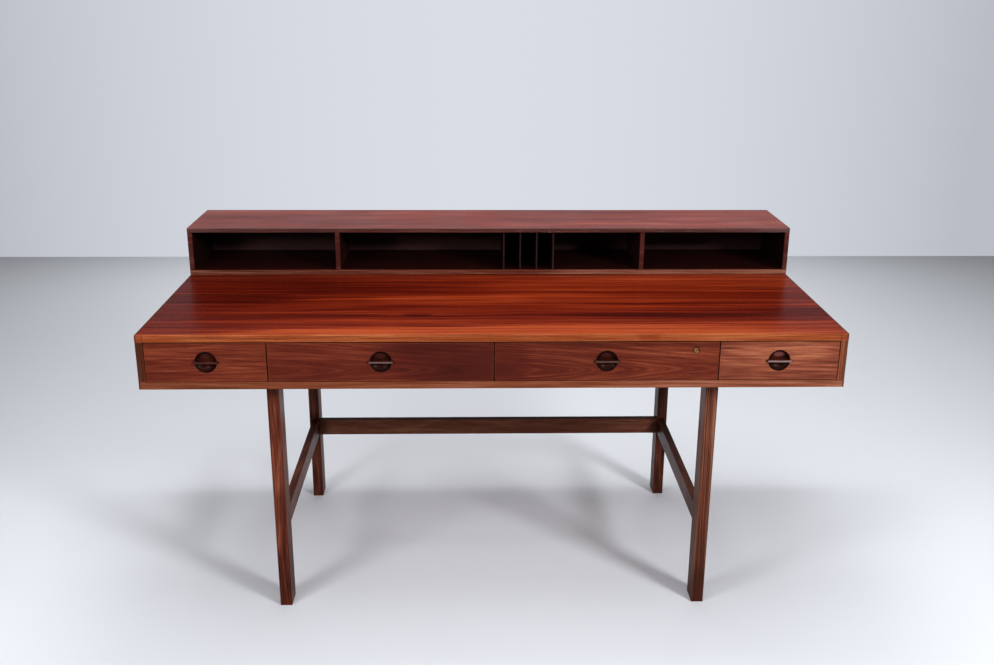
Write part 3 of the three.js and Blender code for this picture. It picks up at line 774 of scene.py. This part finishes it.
pull_centre_z = 0.6615
dish_radius = 0.0240
dish_depth = 0.0120
rim_radius = 0.0250
rim_round = ((0.02420, -0.00012), (0.02450, -0.00016), (0.02478, -0.00006), (0.02494, 0.00014),
             (rim_radius, 0.00045))
pull_depth = 0.0140
around = 96
dish_steps = 18
fin_half_thickness = 0.0021
fin_proud = 0.0070
fin_half_front = 0.0260
fin_tip = 0.0300
fin_tip_shoulder = 0.0295
fin_root = (0.0244, 0.002)
fin_foot = (0.012, dish_depth + 0.0006)
tip_gap = 0.00025
end_steps = 10


def solid_of(name, rings):
    """A closed skin over rings of points that all hold the same number of points."""
    shape = bmesh.new()
    rows = [[shape.verts.new(point) for point in ring] for ring in rings]
    for row, following in zip(rows, rows[1:]):
        for index, vertex in enumerate(row):
            after = (index + 1) % len(row)
            shape.faces.new((vertex, row[after], following[after], following[index]))
    shape.faces.new(rows[0][::-1])
    shape.faces.new(rows[-1])
    bmesh.ops.recalc_face_normals(shape, faces=shape.faces)
    mesh = bpy.data.meshes.new(name)
    shape.to_mesh(mesh)
    shape.free()
    return mesh


def turned_dish(centre_x):
    """The cup's outline is turned once round the axis of the pull: bowl, rounded rim, wall, foot."""
    bowl_radius = (dish_radius ** 2 + dish_depth ** 2) / (2 * dish_depth)
    half_angle = math.asin(dish_radius / bowl_radius)
    outline = []
    for step in range(1, dish_steps + 1):
        angle = half_angle * step / dish_steps
        outline.append((bowl_radius * math.sin(angle),
                        dish_depth - bowl_radius * (1 - math.cos(angle))))
    outline += [*rim_round, (rim_radius, pull_depth)]
    turns = [2 * math.pi * turn / around for turn in range(around)]
    rings = [
        [(centre_x + radius * math.cos(angle), desk_front_y + back,
          pull_centre_z + radius * math.sin(angle)) for angle in turns]
        for radius, back in outline
    ]
    return solid_of("turned dish", rings)


def fin_blade(centre_x):
    """The fin's plan runs along its front edge, round both swept tips and down into the bowl."""
    sweep = []
    for step in range(end_steps + 1):
        share = step / end_steps
        sweep.append((
            (1 - share) ** 2 * fin_half_front + 2 * share * (1 - share) * fin_tip_shoulder
            + share ** 2 * fin_tip,
            -((1 - share) ** 2 * fin_proud + share * (1 - share) * fin_proud
              + share ** 2 * tip_gap),
        ))
    half = [*sweep, (rim_radius, -tip_gap), fin_root, fin_foot]
    plan = half + [(-x, back) for x, back in half[::-1]]
    rings = [
        [(centre_x + x, desk_front_y + back, pull_centre_z + height) for x, back in plan]
        for height in (-fin_half_thickness, fin_half_thickness)
    ]
    return solid_of("fin blade", rings)


pull_tones = ((0.0, "1e0b07"), (0.5, "34130c"), (1.0, "52231a"))
pull_figure = {"ring_width": 0.005, "wander": 0.01, "streak_length": 0.05}
# For each pull, the painted highlight on its fin's front edge and in its bowl.
pull_painted_light = {1: (0.04, 0.12), 2: (0.38, 0.12), 3: (0.2, 0.12), 4: (0.8, 0.75)}
bowl_highlight_z = pull_centre_z + 0.0125
fin_front_y = desk_front_y - fin_proud


def lit_and_shaded_pull(centre_x, fin_highlight, bowl_highlight):
    """Painted highlights on the fin's front edge and in the bowl above it; painted shade at the rim.
    """
    def lay_light_and_shade(tree, places, distances, colour):
        in_bowl = maths(tree, "GREATER_THAN", places["Y"], desk_front_y - hair)
        from_centre = distance_from(tree, places, centre_x, pull_centre_z)
        painted_shade = ease(tree, from_centre, start=0.012, end=0.023, high=0.8)
        colour = blended(tree, times(tree, painted_shade, in_bowl), colour, paint("120605"))
        bowl_light = place_effect(
            tree, soft_patch, along=places["X"], across=places["Z"], middle_along=centre_x,
            middle_across=bowl_highlight_z, half_length=0.015, half_width=0.0085, ragged=0.25,
            seed=centre_x,
        )["Patch"]
        bowl_light = times(tree, bowl_light, in_bowl, bowl_highlight)
        colour = blended(tree, bowl_light, colour, paint("8e5250"))
        lightened = ease(tree, places["Y"], start=fin_front_y + 0.0014, end=fin_front_y + 0.0004)
        return blended(tree, times(tree, lightened, fin_highlight), colour, paint("8d726e"))

    return lay_light_and_shade


for number, (fin_highlight, bowl_highlight) in pull_painted_light.items():
    node_name = f"drawer_{number}_pull"
    low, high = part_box(node_name)
    centre_x = (low.x + high.x) / 2
    shape = bmesh.new()
    shape.from_mesh(turned_dish(centre_x))
    shape.from_mesh(fin_blade(centre_x))
    mesh = bpy.data.meshes.new(f"finned_pull_{number}")
    shape.to_mesh(mesh)
    shape.free()
    pull = bpy.data.objects.new(f"finned_pull_{number}", mesh)
    bpy.context.scene.collection.objects.link(pull)
    rosewood_board(
        node_name, "along desk, upright", seed=81.0 + number, colours=pull_tones,
        figure=pull_figure, dress=lit_and_shaded_pull(centre_x, fin_highlight, bowl_highlight), specular=0.05,
        roughness=0.3, wear_and_highlight=0.0, piece=pull,
    )
    ease_arrises(pull, width=0.0006, steps=3)
    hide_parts(node_name)
    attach(pull, f"drawer_{number}")


# Drawer boxes
# Two sides, a back and a bottom behind each front, all of plain pale hardwood. The sides are
# dovetailed into the front, and the bottom is slid into grooves in them.

lining_tones = ((0.0, "8a6240"), (0.5, "a97f55"), (1.0, "c49b6e"))
lining_figure = {"ring_width": 0.008, "wander": 0.02, "streak_length": 0.3, "pith_depth": 0.1}
box_parts = {"left_side": "front to back, upright", "right_side": "front to back, upright",
             "back": "along desk, upright", "bottom": "along desk, flat"}
for number in (1, 2, 3, 4):
    for part, grain in box_parts.items():
        rosewood_board(f"drawer_{number}_{part}", grain, seed=91.0 + number, colours=lining_tones,
                       figure=lining_figure, ink="7a5638", roughness=0.5, specular=0.3, wear_and_highlight=0.2,
                       wear_and_highlight_colour="c9a379")


# Lock and hinges
# A brass cylinder lock in the third drawer, and three brass butt hinges let in at the back, each
# leaf held by three slotted countersunk screws.

def brushed_brass(name, colours, roughness):
    """Brass with fine brushed lines along the desk and cloudy tarnish over them."""
    tarnish_scales = (120.0, 120.0, 120.0)
    line_scales = (200.0, 3000.0, 3000.0)
    line_relief = 0.00002
    material, tree = new_finish(name)
    spot = tree.nodes.new("ShaderNodeTexCoord")
    split = tree.nodes.new("ShaderNodeSeparateXYZ")
    tree.links.new(spot.outputs["Object"], split.inputs[0])
    tarnish = cloudy(tree, *split.outputs, tarnish_scales, detail=4.0)
    lines = cloudy(tree, *split.outputs, line_scales)
    colour = tones(tree, ease(tree, tarnish, 0.3, 0.7), colours)
    sheen = ease(tree, lines, 0.3, 0.7, low=roughness - 0.06, high=roughness + 0.1)
    finished(tree, colour, sheen, lines, line_relief, metallic=1.0)
    return material


lock_tones = ((0.0, "6e4526"), (0.5, "a87446"), (1.0, "cf9c66"))
hinge_tones = ((0.0, "7d5c34"), (0.5, "a98352"), (1.0, "c8a46c"))
lock_brass = brushed_brass("lock brass", lock_tones, roughness=0.3)
hinge_brass = brushed_brass("hinge brass", hinge_tones, roughness=0.36)
for name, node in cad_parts.items():
    if name.startswith(("lock_", "hinge_")):
        node.data.materials.clear()
        node.data.materials.append(lock_brass if name.startswith("lock_") else hinge_brass)
        ease_arrises(node)

screw_radius = 0.0027
sink_radius = 0.0030
slot_half_width = 0.00032
head_proud = 0.00014
sink_proud = 0.00002
rooted = 0.0004
screw_steps = 14
screw_row_y = 0.3658
screw_places = (-0.0220, 0.0, 0.0220)
leaf_sunk = 0.00025
leaf_faces = {
    "desk": {"face_z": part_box("desk_top")[1].z - leaf_sunk, "outward": 1, "first_turn": 0.4},
    "gallery": {"face_z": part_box("gallery_bottom")[0].z + leaf_sunk, "outward": -1,
                "first_turn": 0.0},
}
screw_tones = ((0.0, "96723f"), (0.5, "c49a60"), (1.0, "e0bd86"))
# The countersinks round the heads, seen also in each slot, are near-black: painted shade.
sink_shade_tones = ((0.0, "1c130a"), (0.5, "2e2012"), (1.0, "46321d"))
screw_brass = brushed_brass("screw brass", screw_tones, roughness=0.28)
sink_shade_brass = brushed_brass("brass in the sink", sink_shade_tones, roughness=0.5)


def screw_outline(radius, start, end, turned, steps):
    """Points of an arc round the screw, turned as far as the slot was left turned."""
    return [
        (radius * math.cos(start + (end - start) * step / steps + turned),
         radius * math.sin(start + (end - start) * step / steps + turned))
        for step in range(steps + 1)
    ]


def raise_outline(shape, outline, middle_x, leaf, proud, material_index):
    """Adds one closed plate over an outline, rooted in the leaf, to a growing mesh."""
    rings = [
        [(middle_x + x, screw_row_y + y, leaf["face_z"] + leaf["outward"] * height)
         for x, y in outline]
        for height in (-rooted, proud)
    ]
    plate = solid_of("plate", rings)
    before = len(shape.faces)
    shape.from_mesh(plate)
    shape.faces.ensure_lookup_table()
    for face_made in shape.faces[before:]:
        face_made.material_index = material_index


chord = math.asin(slot_half_width / screw_radius)
sink_rim = screw_outline(sink_radius, 0.0, 2 * math.pi, 0.0, 2 * screw_steps)[:-1]
for number in (1, 2, 3):
    leaf_low, leaf_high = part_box(f"hinge_{number}_desk_leaf")
    hinge_x = (leaf_low.x + leaf_high.x) / 2
    for body, leaf in leaf_faces.items():
        shape = bmesh.new()
        for place, offset in enumerate(screw_places):
            turned = 0.7 * place + 0.9 * number + leaf["first_turn"]
            raise_outline(shape, sink_rim, hinge_x + offset, leaf, sink_proud, material_index=1)
            for half in (0.0, math.pi):
                half_head = screw_outline(screw_radius, half + chord, half + math.pi - chord,
                                          turned, screw_steps)
                raise_outline(shape, half_head, hinge_x + offset, leaf, head_proud,
                              material_index=0)
        mesh = bpy.data.meshes.new("screws")
        shape.to_mesh(mesh)
        shape.free()
        mesh.materials.append(screw_brass)
        mesh.materials.append(sink_shade_brass)
        screws = bpy.data.objects.new(f"hinge_{number}_{body}_screws", mesh)
        bpy.context.scene.collection.objects.link(screws)
        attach(screws, body)


# Floor and light
# A plain pale floor that ends under a pale studio wall, which only the camera sees. Soft lights
# hang over the desk and its front, and stand at its right, at its left and behind it.

floor_half_width = 7.0
floor_back = 3.2
floor_mesh = bpy.data.meshes.new("floor")
floor_mesh.from_pydata(
    [(-floor_half_width, -floor_half_width, 0), (floor_half_width, -floor_half_width, 0),
     (floor_half_width, floor_back, 0), (-floor_half_width, floor_back, 0)],
    [], [(0, 1, 2, 3)],
)
floor = bpy.data.objects.new("floor", floor_mesh)
bpy.context.scene.collection.objects.link(floor)
floor_finish, tree = new_finish("floor paint")
spot = tree.nodes.new("ShaderNodeTexCoord")
split = tree.nodes.new("ShaderNodeSeparateXYZ")
tree.links.new(spot.outputs["Object"], split.inputs[0])
mottle = cloudy(tree, split.outputs[0], split.outputs[1], 0.0, detail=4.0)
paint_colour = blended(tree, ease(tree, mottle, 0.3, 0.7), paint("e0e4eb"), paint("e2e6ed"))
finished(tree, paint_colour, 0.6, mottle, bump=0.0001, specular=0.2)
floor_mesh.materials.append(floor_finish)

# The wall is painted brightest in its middle and darker to both sides: painted light falling off.
wall_middle = 0.01
wall_half_width = 0.46
wall_middle_paint = paint("dadde5")
wall_side_paint = paint("b9bdc5")
mirrored_paint = paint("cfd2da")
world = bpy.data.worlds.new("studio")
bpy.context.scene.world = world
world.use_nodes = True
sky = world.node_tree
sky.nodes.clear()
looking = sky.nodes.new("ShaderNodeTexCoord")
split = sky.nodes.new("ShaderNodeSeparateXYZ")
sky.links.new(looking.outputs["Generated"], split.inputs[0])
sideways = maths(sky, "DIVIDE", split.outputs[0], split.outputs[1])
from_middle = maths(sky, "SUBTRACT", sideways, wall_middle)
from_middle = maths(sky, "DIVIDE", from_middle, wall_half_width)
fall_off = maths(sky, "MINIMUM", times(sky, from_middle, from_middle), 1.0)
wall_colour = blended(sky, fall_off, wall_middle_paint, wall_side_paint)
wall = sky.nodes.new("ShaderNodeBackground")
sky.links.new(wall_colour, wall.inputs["Color"])
mirrored = sky.nodes.new("ShaderNodeBackground")
mirrored.inputs["Color"].default_value = mirrored_paint
low_wall = ease(sky, split.outputs[2], start=0.20, end=0.34, low=0.70, high=0.14)
back_wall = ease(sky, split.outputs[1], start=0.0, end=0.5, low=0.03, high=1.0)
sky.links.new(times(sky, low_wall, back_wall), mirrored.inputs["Strength"])
ambient = sky.nodes.new("ShaderNodeBackground")
ambient.inputs["Color"].default_value = (1.0, 1.0, 1.0, 1.0)
ambient.inputs["Strength"].default_value = 0.02
ray = sky.nodes.new("ShaderNodeLightPath")
unlit = sky.nodes.new("ShaderNodeMixShader")
sky.links.new(ray.outputs["Is Glossy Ray"], unlit.inputs[0])
sky.links.new(ambient.outputs[0], unlit.inputs[1])
sky.links.new(mirrored.outputs[0], unlit.inputs[2])
either = sky.nodes.new("ShaderNodeMixShader")
direct = maths(sky, "MAXIMUM", ray.outputs["Is Camera Ray"], ray.outputs["Is Transmission Ray"])
sky.links.new(direct, either.inputs[0])
sky.links.new(unlit.outputs[0], either.inputs[1])
sky.links.new(wall.outputs[0], either.inputs[2])
result = sky.nodes.new("ShaderNodeOutputWorld")
sky.links.new(either.outputs[0], result.inputs[0])


def soft_light(name, place, target, size, power, seen_in_gloss=True):
    """A softbox: a lamp of the given width and height that faces its target."""
    lamp = bpy.data.lights.new(name, "AREA")
    lamp.shape = "RECTANGLE"
    lamp.size, lamp.size_y = size
    lamp.energy = power
    made = bpy.data.objects.new(name, lamp)
    bpy.context.scene.collection.objects.link(made)
    made.location = place
    made.rotation_mode = "QUATERNION"
    made.rotation_quaternion = (Vector(target) - Vector(place)).to_track_quat("-Z", "Y")
    made.visible_camera = False
    made.visible_glossy = seen_in_gloss


soft_light("overhead light", place=(0.0, 0.0, 3.0), target=(0.0, 0.001, 0.0), size=(3.0, 2.0),
           power=34)
soft_light("overhead strip", place=(-0.1, 0.6, 3.0), target=(-0.1, 0.601, 0.0), size=(1.0, 0.25),
           power=19)
soft_light("long overhead strip", place=(0.0, 0.3, 3.0), target=(0.0, 0.301, 0.0),
           size=(2.2, 0.3), power=10)
soft_light("high front light", place=(0.0, -2.4, 3.2), target=(0.0, -0.6, 0.0), size=(3.0, 1.0),
           power=34)
soft_light("right light", place=(2.4, -2.6, 2.2), target=(0.0, 0.0, 0.3), size=(0.7, 0.7),
           power=94)
soft_light("left light", place=(-1.55, -1.7, 1.6), target=(0.0, 0.0, 0.3), size=(0.6, 0.6),
           power=20)
soft_light("back light", place=(0.0, 3.0, 1.6), target=(0.0, 0.4, 0.0), size=(4.0, 1.6), power=39,
           seen_in_gloss=False)


# Camera
# It stands in front of the desk, a little left of its middle and at eye height, and looks down on
# the top. Focal length and angles come from a fit to the straight edges in the photograph.

eye = Vector((-0.0526, -2.6482, 1.4814))
look_down = math.radians(18.263)
look_right = math.radians(1.471)
lean = math.radians(0.303)
sensor_width = 36.0
picture_width = 994
focal_pixels = 1073.48

forward = Vector((
    math.sin(look_right) * math.cos(look_down),
    math.cos(look_right) * math.cos(look_down),
    -math.sin(look_down),
))
level = Vector((math.cos(look_right), -math.sin(look_right), 0.0))
upright = level.cross(forward)
right_hand = math.cos(lean) * level + math.sin(lean) * upright
overhead = math.cos(lean) * upright - math.sin(lean) * level

camera_data = bpy.data.cameras.new("camera")
camera_data.sensor_width = sensor_width
camera_data.lens = focal_pixels / picture_width * sensor_width
camera = bpy.data.objects.new("camera", camera_data)
bpy.context.scene.collection.objects.link(camera)
camera.matrix_world = Matrix.Translation(eye) @ Matrix(
    (right_hand, overhead, -forward)
).transposed().to_4x4()
bpy.context.scene.camera = camera
bpy.context.scene.view_settings.view_transform = "Standard"
